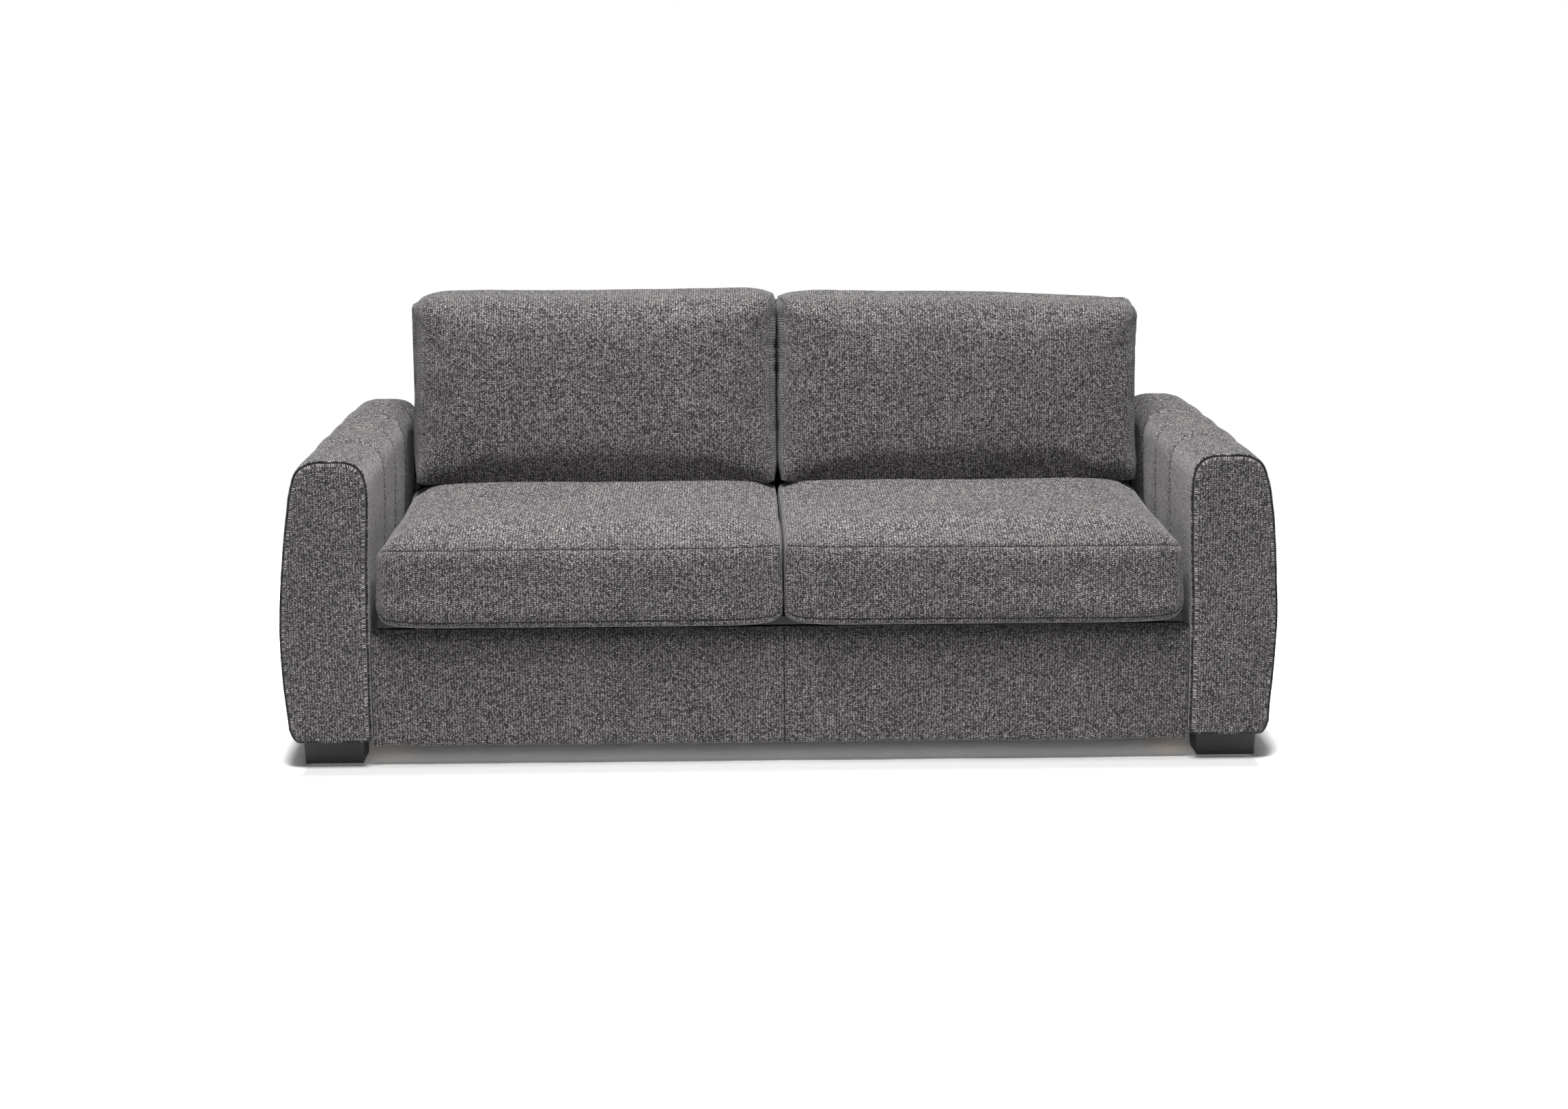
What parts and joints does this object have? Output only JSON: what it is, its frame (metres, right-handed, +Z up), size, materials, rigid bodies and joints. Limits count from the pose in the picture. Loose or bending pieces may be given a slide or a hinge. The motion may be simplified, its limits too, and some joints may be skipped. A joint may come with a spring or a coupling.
{
  "type": "sleeper sofa with pull out bed",
  "caption": "Upholstered sofa with box seat cushions, loose-look back cushions and bulged padded arms, whose seat and back turn over to the front into a bed on folding legs.",
  "frame": {"origin": "on the floor, under the middle of the closed sofa's width and depth", "axes": "+X to the right as seen from in front, along the sofa's width; +Y to the rear; +Z up"},
  "size_m": [2.038, 0.976, 0.9202],
  "materials": {
    "upholstery": "charcoal and light grey heather, chunky woven, matt",
    "deck_cloth": "plain dark lining cloth over board",
    "ticking": "off-white woven mattress cover",
    "plywood": "bare plywood",
    "foot": "black, smooth, slight sheen",
    "steel_frame": "grey powder coat",
    "steel_pin": "zinc plated",
    "glide": "black moulded cap"
  },
  "bodies": {
    "base": {"arm_left": "upholstery", "arm_right": "upholstery", "arm_frame_left": "plywood", "arm_frame_right": "plywood", "foot_front_left": "foot", "foot_front_right": "foot", "foot_rear_left": "foot", "foot_rear_right": "foot", "front_panel": "upholstery", "front_rail": "plywood", "rear_panel": "upholstery", "rear_rail": "plywood", "back_wing_left": "upholstery", "back_wing_right": "upholstery", "base_rail_left": "plywood", "base_rail_right": "plywood", "mechanism_plate_left": "steel_frame", "mechanism_plate_right": "steel_frame", "front_base_pin_left": "steel_pin", "front_base_pin_right": "steel_pin", "rear_base_pin_left": "steel_pin", "rear_base_pin_right": "steel_pin"},
    "front_swing_arms": {"front_swing_arm_left": "steel_frame", "front_swing_arm_right": "steel_frame", "torsion_tube": "steel_frame"},
    "rear_swing_arms": {"rear_swing_arm_left": "steel_frame", "rear_swing_arm_right": "steel_frame"},
    "head_section": {"head_bed_frame": "steel_frame", "mattress_head": "ticking", "front_lift_pin_left": "steel_pin", "front_lift_pin_right": "steel_pin", "rear_lift_pin_left": "steel_pin", "rear_lift_pin_right": "steel_pin", "unfold_pin_left": "steel_pin", "unfold_pin_right": "steel_pin"},
    "seat_section": {"seat_bed_frame": "steel_frame", "mattress_middle": "ticking", "seat_deck": "deck_cloth", "seat_cushion_left": "upholstery", "seat_cushion_right": "upholstery", "fold_pin_left": "steel_pin", "fold_pin_right": "steel_pin", "middle_leg_pin_left": "steel_pin", "middle_leg_pin_right": "steel_pin"},
    "back_section": {"back_bed_frame": "steel_frame", "mattress_foot": "ticking", "back_board": "deck_cloth", "back_cushion_left": "upholstery", "back_cushion_right": "upholstery", "pull_strap": "deck_cloth", "foot_leg_pin_left": "steel_pin", "foot_leg_pin_right": "steel_pin"},
    "middle_legs": {"middle_leg_left": "steel_frame", "middle_leg_right": "steel_frame", "middle_leg_cap_left": "glide", "middle_leg_cap_right": "glide"},
    "foot_legs": {"foot_leg_left": "steel_frame", "foot_leg_right": "steel_frame", "foot_leg_cap_left": "glide", "foot_leg_cap_right": "glide"}
  },
  "joints": [
    {"name": "front_swing", "type": "hinge", "parent": "base", "child": "front_swing_arms", "pos_m": [0, -0.4, 0.07], "axis": [1, 0, 0], "range_deg": [0, 90]},
    {"name": "rear_swing", "type": "hinge", "parent": "base", "child": "rear_swing_arms", "pos_m": [0, 0, 0.07], "axis": [1, 0, 0], "range_deg": [0, 90]},
    {"name": "head_level", "type": "hinge", "parent": "front_swing_arms", "child": "head_section", "pos_m": [0, -0.1, 0.07], "axis": [1, 0, 0], "range_deg": [-90, 0]},
    {"name": "bed_unfold", "type": "hinge", "parent": "head_section", "child": "seat_section", "pos_m": [0, -0.325, 0.175], "axis": [1, 0, 0], "range_deg": [0, 180]},
    {"name": "back_unfold", "type": "hinge", "parent": "seat_section", "child": "back_section", "pos_m": [0, 0.275, 0.28], "axis": [1, 0, 0], "range_deg": [-84, 0]},
    {"name": "middle_legs_fold", "type": "hinge", "parent": "seat_section", "child": "middle_legs", "pos_m": [0, 0.235, 0.28], "axis": [1, 0, 0], "range_deg": [-90, 0]},
    {"name": "foot_legs_fold", "type": "hinge", "parent": "back_section", "child": "foot_legs", "pos_m": [0, 0.33197, 0.82201], "axis": [1, 0, 0], "range_deg": [-90, 0]}
  ],
  "couplings": [
    {"joint": "front_swing", "follows": "bed_unfold", "ratio": 0.5},
    {"joint": "rear_swing", "follows": "bed_unfold", "ratio": 0.5},
    {"joint": "head_level", "follows": "bed_unfold", "ratio": -0.5},
    {"joint": "back_unfold", "follows": "bed_unfold", "ratio": -0.46667},
    {"joint": "middle_legs_fold", "follows": "bed_unfold", "ratio": -0.5},
    {"joint": "foot_legs_fold", "follows": "bed_unfold", "ratio": -0.5}
  ]
}
